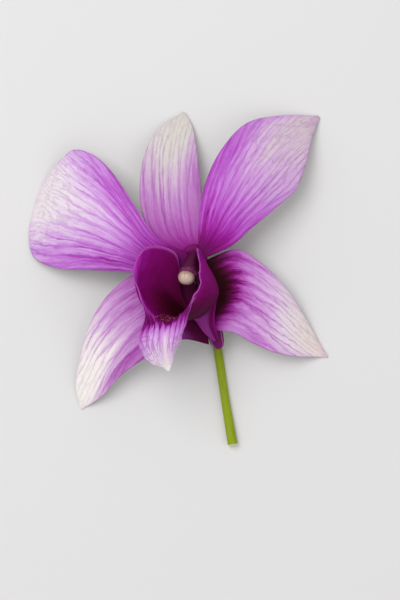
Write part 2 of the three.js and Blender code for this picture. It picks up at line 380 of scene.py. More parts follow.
# Pigment that is strongest at the base and the margins and runs outwards in streaks. The veins fork twice
# and end in a fine net, and the tissue between them is paler. A thin darker line along the very margin is
# painted edge shade.
def tepalPaint(spec):
    paint = Paint(spec["name"] + "_paint")
    u, v = paint.uv("blade")
    across, fanWidth = paint.uv("fan")
    seed = spec["seed"]
    signedEdge = paint.sub(paint.mul(v, 2.0), 1.0)
    edge = paint.math("ABSOLUTE", signedEdge)
    slow = paint.drift(paint.mul(u, 3.5), paint.mul(across, 6.0), seed)
    quick = paint.drift(paint.mul(u, 26.0), paint.mul(across, 34.0), seed + 1)
    lanes = paint.mul(across, float(spec["veins"]))
    lanes = paint.add(lanes, paint.add(paint.mul(slow, 0.8), paint.mul(quick, 0.26)))
    lane = paint.math("FLOOR", lanes)
    luck = paint.chance(paint.add(lane, seed))
    moreLuck = paint.chance(paint.add(lane, seed + 40.5))
    forkStart = paint.add(spec["forks"][0], paint.mul(luck, 0.25))
    fork = paint.mul(paint.rise(u, forkStart, paint.add(forkStart, 0.3)), 0.25)
    nextStart = paint.add(spec["forks"][1], paint.mul(moreLuck, 0.25))
    nextFork = paint.mul(paint.rise(u, nextStart, paint.add(nextStart, 0.25)), 0.125)
    distance = paint.math("ABSOLUTE", paint.sub(paint.math("FRACT", lanes), 0.5))
    distance = paint.math("ABSOLUTE", paint.sub(distance, fork))
    distance = paint.math("ABSOLUTE", paint.sub(distance, nextFork))
    distance = paint.mul(distance, paint.mul(fanWidth, 100.0 / spec["veins"]))
    fade = paint.ramp(u, [(place, (share, share, share, 1)) for place, share in spec["veinStrength"]])
    breaks = paint.noise(paint.vector(paint.mul(u, 9.0), paint.mul(across, 24.0), seed + 3), 1.0, 3.0)
    life = paint.mul(paint.rise(breaks, 0.3, 0.62), paint.add(0.3, paint.mul(moreLuck, 0.7)))
    width = paint.mul(spec["veinWidth"], paint.add(0.7, paint.mul(breaks, 0.6)))
    near = paint.sub(1.0, paint.rise(distance, 0.0, width))
    core = paint.mul(near, paint.mul(life, fade))
    halo = paint.mul(paint.rise(distance, spec["haloWidth"], 0.0), fade)
    netPlace = paint.vector(
        paint.add(paint.mul(u, spec["netThreads"][0]), paint.mul(quick, 0.9)),
        paint.add(paint.mul(lanes, spec["netThreads"][1]), paint.mul(breaks, 0.9)), seed + 21)
    net = paint.mul(paint.rise(paint.web(netPlace), 0.16, 0.0), paint.rise(u, 0.25, 0.6))
    net = paint.mul(net, paint.rise(breaks, 0.62, 0.4))
    streak = paint.drift(paint.mul(u, 3.4), paint.mul(lanes, spec["streakCount"]), seed + 9, 4.0, 0.62)
    fine = paint.drift(paint.mul(u, 16.0), paint.mul(lanes, 8.0), seed + 13, 3.0, 0.6)
    cloud = paint.drift(paint.mul(u, 3.0), paint.mul(v, 3.0), seed + 5)
    leftPull = paint.mul(paint.rise(signedEdge, -0.1, -1.0), spec["edgePull"][0])
    rightPull = paint.mul(paint.rise(signedEdge, 0.1, 1.0), spec["edgePull"][1])
    leftLift = paint.mul(paint.rise(signedEdge, -0.15, -1.0), spec["baseLift"][0])
    rightLift = paint.mul(paint.rise(signedEdge, 0.15, 1.0), spec["baseLift"][1])
    lift = paint.mul(paint.add(leftLift, rightLift), paint.rise(u, 0.4, 0.05))
    reach = paint.add(paint.sub(u, paint.mul(paint.add(leftPull, rightPull), paint.rise(u, 0.15, 0.6))), lift)
    free = paint.rise(u, 0.04, 0.3)
    ripple = paint.add(paint.mul(streak, spec["streaks"]), paint.mul(fine, spec["streaks"] * 0.4))
    ripple = paint.sub(paint.add(ripple, paint.mul(cloud, spec["clouds"])), paint.mul(halo, spec["haloPull"]))
    reach = paint.add(reach, paint.mul(ripple, paint.add(0.25, paint.mul(free, 0.75))))
    face = paint.ramp(reach, spec["face"])
    face = paint.mix(paint.mul(net, spec["netShare"]), face, spec["vein"])
    face = paint.mix(paint.mul(core, spec["veinShare"]), face, spec["vein"])
    rimReach = paint.math("MAXIMUM", paint.rise(edge, 0.66, 1.0), paint.rise(u, 0.86, 1.0))
    rim = paint.mul(rimReach, paint.mul(paint.add(0.6, paint.mul(streak, 1.6)), spec["rimShare"]))
    face = paint.mix(paint.mul(paint.math("MINIMUM", rim, 0.9), free), face, spec["rim"])
    # Painted shade: a thin line of vein colour along the very margin, darker than the face beside it.
    hem = paint.mul(paint.rise(edge, 0.955, 1.0), paint.mul(free, spec["marginShadeShare"]))
    face = paint.mix(hem, face, spec["vein"])
    reverse = paint.ramp(paint.add(edge, paint.mul(streak, 0.4)), spec["reverse"])
    reverse = paint.mix(paint.mul(core, 0.3), reverse, spec["rim"])
    reverse = paint.mix(paint.rise(u, 0.16, 0.02), reverse, spec["root"])
    colour = paint.mix(paint.attribute("back"), face, reverse)
    grain = paint.noise(paint.place(), tepalSkin["grain"], 3.0, 0.6)
    colour = paint.mottle(colour, grain, tepalSkin["grainDepth"])
    skin = paint.mul(paint.cells(paint.place(), tepalSkin["cells"]), 0.3)
    relief = paint.sub(paint.add(paint.mul(fine, 0.8), skin), paint.mul(core, 0.8))
    normal = paint.bump(relief, tepalSkin["relief"], 0.6)
    return paint.finish(
        colour, 0.5, normal, Subsurface_Weight=0.1, Subsurface_Scale=0.0005,
        Subsurface_Radius=(1.0, 0.5, 0.8), Specular_IOR_Level=0.05)


# A net's rows run from the base to the tip, and each crosses the blade from margin to margin, in mm.
# "face" holds the colours from base to tip, and "reverse" those behind from midrib to margin. "edgePull"
# and "baseLift" shift the face's colours at the first and the second margin.
lateralReverse = [(0.0, tint(226, 223, 208)), (0.6, tint(228, 220, 220)), (1.0, tint(206, 174, 208))]
petalReverse = [(0.0, tint(226, 222, 214)), (0.6, tint(226, 216, 222)), (1.0, tint(201, 162, 206))]

dorsalSepal = {
    "name": "dorsal_sepal_skin",
    "node": "dorsal_sepal",
    "net": [
        [[-3.6, 1.8, 10.8], [-1.0, 2.3, 10.6], [1.8, 1.8, 10.8]],
        [[-10.4, 5.7, 10.2], [-4.6, 6.6, 9.7], [1.7, 6.4, 10.2]],
        [[-13.2, 12.0, 9.0], [-6.1, 12.0, 8.3], [1.4, 12.0, 8.8]],
        [[-13.8, 19.7, 6.6], [-6.5, 19.7, 6.2], [0.7, 19.7, 6.4]],
        [[-12.2, 27.4, 3.6], [-6.1, 27.6, 3.8], [-0.1, 27.4, 3.6]],
        [[-8.5, 33.1, 1.2], [-4.8, 33.6, 1.5], [-1.2, 33.1, 1.2]],
        [[-3.6, 36.2, 0.2], [-3.2, 36.4, 0.2], [-2.7, 36.2, 0.2]],
    ],
    "thickness": 0.5, "groove": 0.12, "waves": (2.0, 1.6), "waveHeight": 0.18, "spread": 0.0,
    "seed": 2.0, "veins": 7, "forks": (0.2, 0.75), "veinWidth": 0.24, "haloWidth": 0.6,
    "veinStrength": [(0.0, 0.4), (0.3, 0.9), (0.75, 0.8), (0.97, 0.2)],
    "vein": tint(132, 66, 136), "veinShare": 0.7, "haloPull": 0.06,
    "streaks": 0.34, "clouds": 0.1, "edgePull": (0.06, 0.18),
    "face": [
        (0.0, tint(120, 14, 106)), (0.1, tint(152, 44, 144)), (0.22, tint(172, 92, 174)),
        (0.38, tint(184, 128, 190)), (0.5, tint(200, 170, 200)), (0.62, tint(208, 202, 199)),
        (1.0, tint(207, 202, 191)),
    ],
    "rim": tint(192, 156, 192), "rimShare": 0.2,
    "reverse": [(0.0, tint(222, 220, 204)), (0.6, tint(226, 218, 218)), (1.0, tint(200, 166, 204))],
    "baseLift": (0.0, 0.0),
    "streakCount": 2.6,
    "netThreads": (9.0, 1.6),
    "netShare": 0.16,
    "marginShadeShare": 0.3,
    "root": tint(110, 14, 92),
}

leftLateralSepal = {
    "name": "left_lateral_sepal_skin",
    "node": "left_lateral_sepal",
    "net": [
        [[2.9, -19.8, 9.9], [1.6, -11.2, 10.5], [-2.2, -1.2, 10.6]],
        [[-3.4, -18.6, 9.8], [-6.5, -9.6, 10.8], [-10.8, -1.4, 10.4]],
        [[-8.9, -21.1, 9.2], [-13.0, -12.7, 9.8], [-17.5, -4.3, 9.2]],
        [[-14.4, -24.4, 7.8], [-18.5, -17.3, 8.2], [-22.6, -9.4, 7.4]],
        [[-18.7, -27.7, 5.8], [-22.8, -22.8, 6.0], [-26.2, -15.8, 5.2]],
        [[-22.3, -31.7, 3.4], [-25.7, -28.1, 3.5], [-28.3, -22.6, 2.8]],
        [[-25.9, -34.4, 1.0], [-27.8, -32.9, 1.1], [-29.4, -30.0, 0.8]],
        [[-27.7, -35.4, 0.0], [-28.1, -35.5, 0.0], [-28.5, -35.1, 0.0]],
    ],
    "thickness": 0.5, "groove": 0.12, "waves": (1.6, 2.2), "waveHeight": 0.2, "spread": 0.0,
    "seed": 5.0, "veins": 7, "forks": (0.2, 0.75), "veinWidth": 0.26, "haloWidth": 0.65,
    "veinStrength": [(0.0, 0.0), (0.2, 0.3), (0.35, 0.9), (0.7, 1.0), (0.97, 0.3)],
    "vein": tint(146, 62, 150), "veinShare": 0.72, "haloPull": 0.07,
    "streaks": 0.34, "clouds": 0.12, "edgePull": (0.26, 0.02),
    "face": [
        (0.0, tint(62, 0, 34)), (0.09, tint(84, 2, 60)), (0.16, tint(130, 32, 124)),
        (0.24, tint(164, 80, 168)), (0.38, tint(198, 148, 204)), (0.5, tint(222, 200, 220)),
        (0.6, tint(237, 230, 229)), (1.0, tint(237, 236, 224)),
    ],
    "rim": tint(196, 146, 200), "rimShare": 0.35,
    "reverse": lateralReverse,
    "baseLift": (0.0, 0.0),
    "streakCount": 2.4,
    "netThreads": (9.0, 1.4),
    "netShare": 0.14,
    "marginShadeShare": 0.35,
    "root": tint(70, 2, 44),
}

rightLateralSepal = {
    "name": "right_lateral_sepal_skin",
    "node": "right_lateral_sepal",
    "net": [
        [[1.5, 0.2, 10.6], [2.7, -8.6, 10.5], [3.8, -16.4, 10.2]],
        [[9.4, 3.0, 9.6], [9.8, -6.7, 10.4], [8.4, -16.8, 9.8]],
        [[14.9, 0.2, 8.2], [15.1, -9.1, 9.2], [13.2, -19.4, 8.4]],
        [[19.7, -4.1, 6.2], [19.9, -12.7, 7.2], [18.5, -21.7, 6.4]],
        [[24.0, -10.0, 3.8], [24.2, -16.8, 4.6], [23.8, -22.7, 3.8]],
        [[27.6, -15.8, 1.5], [28.1, -20.2, 1.9], [28.1, -22.9, 1.4]],
        [[31.2, -22.2, 0.0], [31.6, -22.8, 0.1], [31.3, -23.0, 0.0]],
    ],
    "thickness": 0.5, "groove": 0.12, "waves": (1.8, 1.4), "waveHeight": 0.2, "spread": 0.0,
    "seed": 8.0, "veins": 7, "forks": (0.15, 0.7), "veinWidth": 0.26, "haloWidth": 0.65,
    "veinStrength": [(0.0, 0.0), (0.2, 0.1), (0.35, 0.9), (0.7, 0.9), (0.97, 0.3)],
    "vein": tint(134, 52, 140), "veinShare": 0.7, "haloPull": 0.06,
    "streaks": 0.34, "clouds": 0.12, "edgePull": (0.06, 0.14),
    # The near-black band from 0.05 to 0.09 is painted shade of the recess beside the lip, laid over the
    # sepal's own deep magenta base.
    "face": [
        (0.0, tint(96, 0, 70)), (0.05, tint(40, 0, 8)), (0.09, tint(36, 0, 6)),
        (0.125, tint(72, 0, 46)), (0.16, tint(120, 12, 106)), (0.2, tint(160, 62, 160)),
        (0.28, tint(194, 130, 202)), (0.38, tint(212, 172, 217)), (0.49, tint(224, 208, 223)),
        (0.68, tint(229, 218, 217)), (1.0, tint(220, 206, 196)),
    ],
    "rim": tint(178, 112, 188), "rimShare": 0.4,
    "reverse": lateralReverse,
    "baseLift": (0.06, 0.15),
    "streakCount": 2.4,
    "netThreads": (9.0, 1.4),
    "netShare": 0.14,
    "marginShadeShare": 0.45,
    "root": tint(90, 4, 64),
}

leftPetal = {
    "name": "left_petal_skin",
    "node": "left_petal",
    "net": [
        [[-2.7, -0.9, 12.0], [-2.2, 0.7, 12.1], [-2.3, 2.2, 12.0]],
        [[-11.3, -2.9, 11.8], [-10.8, 1.4, 12.4], [-9.4, 5.8, 11.8]],
        [[-19.0, -2.3, 10.8], [-17.5, 5.8, 12.2], [-15.1, 13.9, 11.0]],
        [[-26.6, -1.9, 8.2], [-24.0, 10.3, 10.6], [-20.4, 21.6, 9.0]],
        [[-34.3, -1.3, 4.6], [-30.5, 13.7, 7.6], [-25.2, 26.0, 6.6]],
        [[-39.8, 1.4, 1.6], [-34.8, 16.1, 4.2], [-29.8, 27.1, 4.4]],
        [[-40.8, 7.2, 0.3], [-36.5, 17.5, 1.6], [-33.4, 24.5, 2.4]],
        [[-39.1, 14.4, 0.0], [-37.8, 18.0, 0.2], [-36.2, 21.1, 0.8]],
    ],
    "thickness": 0.45, "groove": 0.1, "waves": (2.3, 2.8), "waveHeight": 0.25, "spread": 0.7,
    "seed": 11.0, "veins": 10, "forks": (0.1, 0.4), "veinWidth": 0.24, "haloWidth": 0.6,
    "veinStrength": [(0.0, 0.3), (0.25, 0.9), (0.7, 0.8), (1.0, 0.5)],
    "vein": tint(140, 66, 158), "veinShare": 0.7, "haloPull": 0.07,
    "streaks": 0.5, "clouds": 0.16, "edgePull": (0.3, 0.26),
    "face": [
        (0.0, tint(92, 0, 72)), (0.07, tint(124, 8, 112)), (0.13, tint(156, 44, 160)),
        (0.24, tint(182, 96, 196)), (0.36, tint(202, 150, 214)), (0.48, tint(218, 192, 222)),
        (0.62, tint(226, 215, 222)), (1.0, tint(226, 219, 218)),
    ],
    "rim": tint(186, 132, 202), "rimShare": 0.35,
    "reverse": petalReverse,
    "baseLift": (0.0, 0.0),
    "streakCount": 2.6,
    "netThreads": (10.0, 1.8),
    "netShare": 0.24,
    "marginShadeShare": 0.3,
    "root": tint(130, 8, 112),
}

rightPetal = {
    "name": "right_petal_skin",
    "node": "right_petal",
    "net": [
        [[0.4, 2.9, 12.0], [1.1, 2.0, 12.1], [1.4, 0.7, 12.0]],
        [[0.3, 7.4, 11.7], [4.8, 6.9, 12.6], [8.4, 3.9, 12.0]],
        [[0.7, 13.0, 10.6], [7.7, 11.8, 12.6], [13.0, 8.0, 11.2]],
        [[2.2, 19.7, 8.8], [11.8, 17.8, 11.6], [18.5, 12.7, 9.8]],
        [[6.0, 27.2, 6.6], [15.6, 23.3, 9.6], [24.0, 17.8, 7.8]],
        [[12.2, 33.7, 4.6], [20.2, 28.6, 6.6], [26.4, 24.5, 5.4]],
        [[20.9, 35.7, 2.2], [24.7, 32.4, 3.4], [27.8, 30.0, 3.0]],
        [[29.2, 35.6, 0.1], [29.7, 35.2, 0.2], [29.5, 34.5, 0.4]],
    ],
    "thickness": 0.45, "groove": 0.1, "waves": (2.0, 2.6), "waveHeight": 0.25, "spread": 0.7,
    "seed": 17.0, "veins": 10, "forks": (0.12, 0.42), "veinWidth": 0.24, "haloWidth": 0.6,
    "veinStrength": [(0.0, 0.3), (0.25, 0.9), (0.7, 0.8), (1.0, 0.4)],
    "vein": tint(134, 60, 150), "veinShare": 0.72, "haloPull": 0.07,
    "streaks": 0.5, "clouds": 0.16, "edgePull": (0.3, 0.0),
    "face": [
        (0.0, tint(84, 0, 62)), (0.07, tint(116, 2, 98)), (0.13, tint(148, 22, 142)),
        (0.22, tint(174, 68, 186)), (0.36, tint(188, 116, 202)), (0.5, tint(202, 160, 210)),
        (0.66, tint(208, 186, 204)), (0.85, tint(204, 187, 196)), (1.0, tint(198, 178, 188)),
    ],
    "rim": tint(180, 116, 194), "rimShare": 0.3,
    "reverse": petalReverse,
    "baseLift": (0.0, 0.0),
    "streakCount": 2.6,
    "netThreads": (10.0, 1.8),
    "netShare": 0.28,
    "marginShadeShare": 0.35,
    "root": tint(120, 4, 100),
}

for spec in (dorsalSepal, leftLateralSepal, rightLateralSepal):
    seat(tepal(spec), tepalPaint(spec), "sepal", spec["node"])
for spec in (leftPetal, rightPetal):
    seat(tepal(spec), tepalPaint(spec), "petal", spec["node"])
print("sepals and petals are in place")


lip = {
    "name": "labellum_skin",
    "net": [
        [[3.3, -18.6, 10.3], [3.8, -18.8, 10.0], [4.2, -18.9, 9.9], [4.7, -18.7, 10.0], [5.0, -18.3, 10.3]],
        [[0.2, -15.0, 13.0], [1.0, -15.8, 12.5], [2.2, -15.8, 12.3], [3.4, -15.0, 12.5], [4.2, -13.6, 13.1]],
        [[-3.6, -7.5, 13.2], [-3.2, -11.2, 13.2], [0.3, -13.6, 13.8], [3.8, -10.8, 13.9], [4.6, -6.0, 14.4]],
        [[-5.2, 2.2, 14.2], [-9.2, -6.0, 14.9], [-1.8, -13.6, 16.2], [4.9, -7.8, 16.5], [0.1, 3.3, 16.4]],
        [[-12.2, 3.4, 16.8], [-13.4, -6.5, 17.6], [-4.4, -14.2, 19.0], [3.6, -8.2, 19.6], [0.5, -1.2, 20.2]],
        [[-15.1, -2.6, 19.2], [-13.0, -9.6, 20.3], [-6.3, -14.6, 21.2], [0.9, -9.0, 21.8], [0.8, -4.6, 22.3]],
        [[-12.3, -12.7, 22.2], [-10.2, -14.2, 22.4], [-7.2, -15.0, 22.8],
         [-3.8, -13.0, 23.2], [-1.4, -10.4, 23.6]],
        [[-13.7, -18.4, 23.0], [-10.8, -18.3, 23.9], [-7.6, -18.6, 24.0],
         [-5.2, -17.6, 24.2], [-3.0, -16.2, 23.6]],
        [[-12.4, -22.9, 22.2], [-9.8, -22.4, 23.0], [-7.4, -22.4, 23.0],
         [-5.8, -21.6, 23.0], [-4.6, -20.2, 22.4]],
        [[-7.6, -25.1, 21.4], [-7.1, -25.6, 21.3], [-6.8, -25.9, 21.2],
         [-6.5, -25.6, 21.3], [-6.2, -24.6, 21.5]],
    ],
    "rows": 230, "columns": 170,
    "thickness": 0.5, "marginShare": 0.3,
    "waveHeight": 0.28,
    "keelHeight": 0.4, "keelWidth": 0.45, "keelGap": 1.1,
    "isthmus": 0.655, "deepest": 0.2,
    "seed": 23.0, "rays": 9,
    # The throat's dark end is partly the lip's own deep maroon and partly painted shade of the cup.
    "throat": [
        (0.0, tint(44, 0, 14)), (0.2, tint(70, 0, 38)), (0.4, tint(96, 0, 68)), (0.65, tint(120, 3, 100)),
        (0.85, tint(146, 22, 138)), (1.0, tint(164, 50, 160)),
    ],
    # The outside's dark end is partly painted shade where the side lobes curve away into the recess, over the
    # lip's own magenta.
    "outside": [
        (0.0, tint(64, 0, 38)), (0.3, tint(76, 0, 52)), (0.5, tint(92, 1, 68)), (0.75, tint(114, 2, 92)),
        (1.0, tint(138, 8, 124)),
    ],
    "midlobe": [
        (0.0, tint(92, 0, 66)), (0.04, tint(128, 14, 112)), (0.1, tint(170, 78, 178)),
        (0.2, tint(196, 130, 206)), (0.38, tint(210, 164, 220)), (0.62, tint(222, 198, 226)),
        (1.0, tint(236, 230, 226)),
    ],
    "vein": tint(124, 24, 134),
    "stripe": tint(228, 214, 212),
    "stripeTip": tint(216, 214, 172),
    "hem": tint(178, 84, 176),
    "clawStripe": tint(152, 56, 150),
    "backWash": tint(228, 216, 226),
    "grain": 1700.0, "grainDepth": 0.24, "cells": 11000.0, "relief": 0.00008,  # per metre, and in metres
}


# The net's columns are read from right to left, so that the side towards the column counts as the upper one.
def lipSkins(spec):
    net = [row[::-1] for row in spec["net"]]
    surface, normal, width, u, v = surfaceThrough(net, spec["rows"], spec["columns"])
    offset = (v - 0.5) * width[:, None]
    edge = np.abs(2 * v - 1)
    thin = spec["marginShare"]
    half = spec["thickness"] / 2 * (thin + (1 - thin) * np.sqrt(np.clip(1 - edge ** 6, 0, 1)))
    margin = edge ** 5 * np.clip((u - 0.3) / 0.15, 0, 1) * np.clip((1 - u) / 0.06, 0, 1)
    wave = spec["waveHeight"] * margin * np.sin(2 * np.pi * (7 * u + 0.35 * v) + 2 * np.sin(9 * u))
    wave += 0.25 * spec["waveHeight"] * margin * np.sin(2 * np.pi * 23 * u + 3 * v)
    keels = np.zeros_like(u)
    for k in (-1, 0, 1):
        keels += np.exp(-((offset - k * spec["keelGap"]) / spec["keelWidth"]) ** 2)
    length = np.clip((u - 0.3) / 0.12, 0, 1) * np.clip((spec["isthmus"] + 0.02 - u) / 0.05, 0, 1)
    bumps = 0.75 + 0.25 * np.sin(2 * np.pi * 42 * u) * np.sin(2 * np.pi * offset / 1.1)
    keels *= length * spec["keelHeight"] * bumps
    fold = 0.3 * np.exp(-(offset / 0.6) ** 2)  # the crease down the midlobe
    fold *= np.clip((u - 0.7) / 0.1, 0, 1) * np.clip((1 - u) / 0.05, 0, 1)
    upper = surface + normal * (half + wave + keels - fold)[..., None]
    lower = surface - normal * (half - wave + fold)[..., None]
    return upper, lower, u, v, offset


# Inside, the side lobes darken inwards to the throat, partly in their own deep maroon and partly as painted
# shade, and the throat's middle between the side lobes is darkened further as painted shade. Feathery rays
# cross the isthmus and fan out over the midlobe as forking veins. Outside, the lip is magenta, darker away
# from its margins partly as painted shade, with a pale stripe along the claw.
def lipPaint(spec):
    paint = Paint("lip_skin")
    u, v = paint.uv("blade")
    seed = spec["seed"]
    edge = paint.math("ABSOLUTE", paint.sub(paint.mul(v, 2.0), 1.0))
    streak = paint.drift(paint.mul(u, 7.0), paint.mul(v, 30.0), seed, 4.0, 0.6)
    cross = paint.drift(paint.mul(u, 22.0), paint.mul(v, 16.0), seed + 1, 3.0, 0.6)
    cloud = paint.drift(paint.mul(u, 7.0), paint.mul(v, 5.0), seed + 2)
    wander = paint.drift(paint.mul(u, 14.0), paint.mul(v, 9.0), seed + 4)
    lanes = paint.add(paint.mul(v, float(spec["rays"])), paint.mul(wander, 0.9))
    luck = paint.chance(paint.math("FLOOR", lanes))
    forkStart = paint.add(spec["isthmus"] + 0.02, paint.mul(luck, 0.1))
    fork = paint.mul(paint.rise(u, forkStart, paint.add(forkStart, 0.12)), 0.25)
    distance = paint.math("ABSOLUTE", paint.sub(paint.math("FRACT", lanes), 0.5))
    distance = paint.math("ABSOLUTE", paint.sub(distance, fork))
    ray = paint.mul(paint.rise(distance, 0.24, 0.03), paint.add(0.5, paint.mul(luck, 0.5)))
    ray = paint.mul(ray, paint.rise(u, 1.0, 0.8))
    netPlace = paint.vector(paint.add(paint.mul(u, 26.0), wander), paint.mul(lanes, 1.3), seed + 7)
    net = paint.mul(paint.rise(paint.web(netPlace), 0.14, 0.0), paint.rise(edge, 0.1, 0.7))
    throatReach = paint.mul(paint.sub(u, spec["deepest"]), 1.0 / (spec["isthmus"] - 0.06 - spec["deepest"]))
    throatReach = paint.add(paint.mul(throatReach, 0.95), paint.mul(edge, 0.16))
    throatReach = paint.add(throatReach, paint.add(paint.mul(cross, 0.2), paint.mul(cloud, 0.3)))
    # Painted shade: the throat is darker in its middle, between the side lobes.
    throatReach = paint.sub(throatReach, paint.mul(paint.rise(edge, 0.6, 0.1), 0.4))
    throat = paint.ramp(throatReach, spec["throat"])
    lobe = paint.mul(paint.sub(u, spec["isthmus"]), 1.0 / (1.0 - spec["isthmus"]))
    lobeReach = paint.add(lobe, paint.add(paint.mul(streak, 0.3), paint.mul(cloud, 0.3)))
    lobeReach = paint.sub(lobeReach, paint.mul(paint.rise(edge, 0.35, 1.0), 0.14))
    lobeReach = paint.sub(lobeReach, paint.mul(ray, paint.mul(paint.rise(lobe, 0.4, 0.0), 0.22)))
    midlobe = paint.ramp(lobeReach, spec["midlobe"])
    midlobe = paint.mix(paint.mul(net, 0.4), midlobe, spec["vein"])
    midlobe = paint.mix(paint.mul(ray, 0.5), midlobe, spec["vein"])
    middle = paint.mul(paint.rise(edge, 0.1, 0.03), paint.rise(u, 0.7, 0.78))
    stripe = paint.mix(paint.rise(u, 0.9, 1.0), spec["stripe"], spec["stripeTip"])
    midlobe = paint.mix(paint.mul(middle, 0.7), midlobe, stripe)
    border = paint.sub(u, paint.add(paint.mul(ray, 0.03), paint.mul(streak, 0.06)))
    onMidlobe = paint.rise(border, spec["isthmus"] - 0.05, spec["isthmus"])
    inside = paint.mix(onMidlobe, throat, midlobe)
    # Painted shade over the lip's own magenta: the outside darkens away from the margins.
    outsideReach = paint.add(edge, paint.add(paint.mul(streak, 0.2), paint.mul(cross, 0.16)))
    outside = paint.ramp(outsideReach, spec["outside"])
    claw = paint.mul(paint.rise(v, 0.98, 0.9), paint.rise(v, 0.28, 0.42))
    claw = paint.mul(paint.rise(u, 0.34, 0.2), claw)
    outside = paint.mix(paint.mul(claw, 0.6), outside, spec["clawStripe"])
    palerBack = paint.mix(0.35, midlobe, spec["backWash"])
    outside = paint.mix(onMidlobe, outside, palerBack)
    colour = paint.mix(paint.attribute("back"), inside, outside)
    hem = paint.mul(paint.rise(u, 0.24, 0.34), paint.rise(u, 1.0, 0.96))
    hem = paint.mul(paint.rise(edge, 0.955, 0.995), hem)
    colour = paint.mix(paint.mul(hem, 0.65), colour, spec["hem"])
    grain = paint.noise(paint.place(), spec["grain"], 3.0, 0.6)
    colour = paint.mottle(colour, grain, spec["grainDepth"])
    velvet = paint.cells(paint.place(), spec["cells"])
    relief = paint.add(paint.mul(cross, 0.7), paint.mul(velvet, 0.35))
    normal = paint.bump(relief, spec["relief"], 0.6)
    return paint.finish(colour, 0.55, normal, Specular_IOR_Level=0.05)


# The callus's warts: short blunt pegs that stand on the keels, close behind the isthmus.
callus = {
    "name": "callus_papillae",
    "from": 0.42, "to": 0.64, "halfWidth": 3.3,
    "spacing": 0.4, "thickness": (0.12, 0.22), "height": (0.22, 0.6), "seed": 5,
    "mostPerSquareMetre": 2.0e7, "pegFaces": 80,
    # The pale colour is painted highlight on the warts' tips.
    "foot": tint(62, 0, 26), "tip": tint(122, 8, 62), "paintedHighlight": tint(158, 70, 112),
}


def callusGrowth(material):
    growth = Growth("callus_growth")
    growth.input("Bed", "NodeSocketGeometry")
    growth.input("Spacing", "NodeSocketFloat", 0.0004)
    growth.input("Smallest", "NodeSocketVector", (0.0001, 0.0001, 0.0002))
    growth.input("Largest", "NodeSocketVector", (0.0002, 0.0002, 0.0006))
    growth.input("Seed", "NodeSocketInt", 1)
    growth.output("Papillae", "NodeSocketGeometry")
    inputs = growth.node("NodeGroupInput")
    outputs = growth.node("NodeGroupOutput")
    scatter = growth.node("GeometryNodeDistributePointsOnFaces", distribute_method="POISSON")
    scatter.inputs["Density Max"].default_value = callus["mostPerSquareMetre"]
    growth.link(inputs.outputs["Bed"], scatter.inputs["Mesh"])
    growth.link(inputs.outputs["Spacing"], scatter.inputs["Distance Min"])
    growth.link(inputs.outputs["Seed"], scatter.inputs["Seed"])
    peg = growth.node("GeometryNodeMeshIcoSphere")
    peg.inputs["Radius"].default_value = 1.0
    peg.inputs["Subdivisions"].default_value = 2
    position = growth.node("GeometryNodeInputPosition")
    split = growth.node("ShaderNodeSeparateXYZ")
    growth.link(position.outputs[0], split.inputs[0])
    markedPeg = growth.keep(peg.outputs["Mesh"], "rise", split.outputs["Z"])
    size = growth.node("FunctionNodeRandomValue", data_type="FLOAT_VECTOR")
    growth.link(inputs.outputs["Smallest"], size.inputs[0])
    growth.link(inputs.outputs["Largest"], size.inputs[1])
    growth.link(inputs.outputs["Seed"], size.inputs["Seed"])
    plant = growth.node("GeometryNodeInstanceOnPoints")
    growth.link(scatter.outputs["Points"], plant.inputs["Points"])
    growth.link(markedPeg, plant.inputs["Instance"])
    growth.link(scatter.outputs["Rotation"], plant.inputs["Rotation"])
    growth.link(size.outputs[0], plant.inputs["Scale"])
    realise = growth.node("GeometryNodeRealizeInstances")
    growth.link(plant.outputs["Instances"], realise.inputs["Geometry"])
    smooth = growth.node("GeometryNodeSetShadeSmooth")
    growth.link(realise.outputs["Geometry"], smooth.inputs["Geometry"])
    dress = growth.node("GeometryNodeSetMaterial")
    dress.inputs["Material"].default_value = material
    growth.link(smooth.outputs["Geometry"], dress.inputs["Geometry"])
    growth.link(dress.outputs["Geometry"], outputs.inputs[0])
    return growth


def callusPaint(spec):
    paint = Paint("callus_skin")
    rise = paint.attribute("rise")
    luck = paint.noise(paint.place(), 1100.0, 1.0)
    # Painted highlights: pale spots scattered over the warts' tips.
    tip = paint.mix(paint.rise(luck, 0.52, 0.62), spec["tip"], spec["paintedHighlight"])
    colour = paint.mix(paint.rise(rise, -0.1, 0.95), spec["foot"], tip)
    grain = paint.noise(paint.place(), 6000.0, 2.0)
    return paint.finish(colour, 0.35, paint.bump(grain, 0.00003, 0.5), Specular_IOR_Level=0.2)


# The bed is the stretch of the lip's inner skin that carries the warts.
def callusObject(spec):
    rows = np.flatnonzero((lipU[:, 0] > spec["from"]) & (lipU[:, 0] < spec["to"]))
    index = np.arange(lipU.size).reshape(lipU.shape)
    faces = []
    for row in rows[:-1]:
        for column in range(lipU.shape[1] - 1):
            if abs(lipOffset[row, column]) < spec["halfWidth"]:
                near, far = index[row], index[row + 1]
                corners = (near[column], near[column + 1], far[column + 1], far[column])
                faces.append([int(corner) for corner in corners])
    mesh = bpy.data.meshes.new("callus_bed")
    mesh.from_pydata(((lipUpper.reshape(-1, 3) + np.array(heart)) * mm).tolist(), [], faces)
    bed = placed("callus_bed", mesh)
    thin, thick = (size * mm for size in spec["thickness"])
    low, high = (size * mm for size in spec["height"])
    made = callusGrowth(callusPaint(spec)).grow(
        bed, spec["name"], Spacing=spec["spacing"] * mm, Smallest=(thin, thin, low),
        Largest=(thick, thick, high), Seed=spec["seed"])
    bpy.data.objects.remove(bed)
    return made


lipUpper, lipLower, lipU, lipV, lipOffset = lipSkins(lip)
lipPiece = bladeObject(lip["name"], lipUpper, lipLower, (lipU, lipV), (lipU, lipOffset))
seat(lipPiece, lipPaint(lip), "lip", "labellum")
papillae = callusObject(callus)
seat(papillae, None, "lip")
print("the lip is in place, with", len(papillae.data.polygons) // callus["pegFaces"], "papillae")


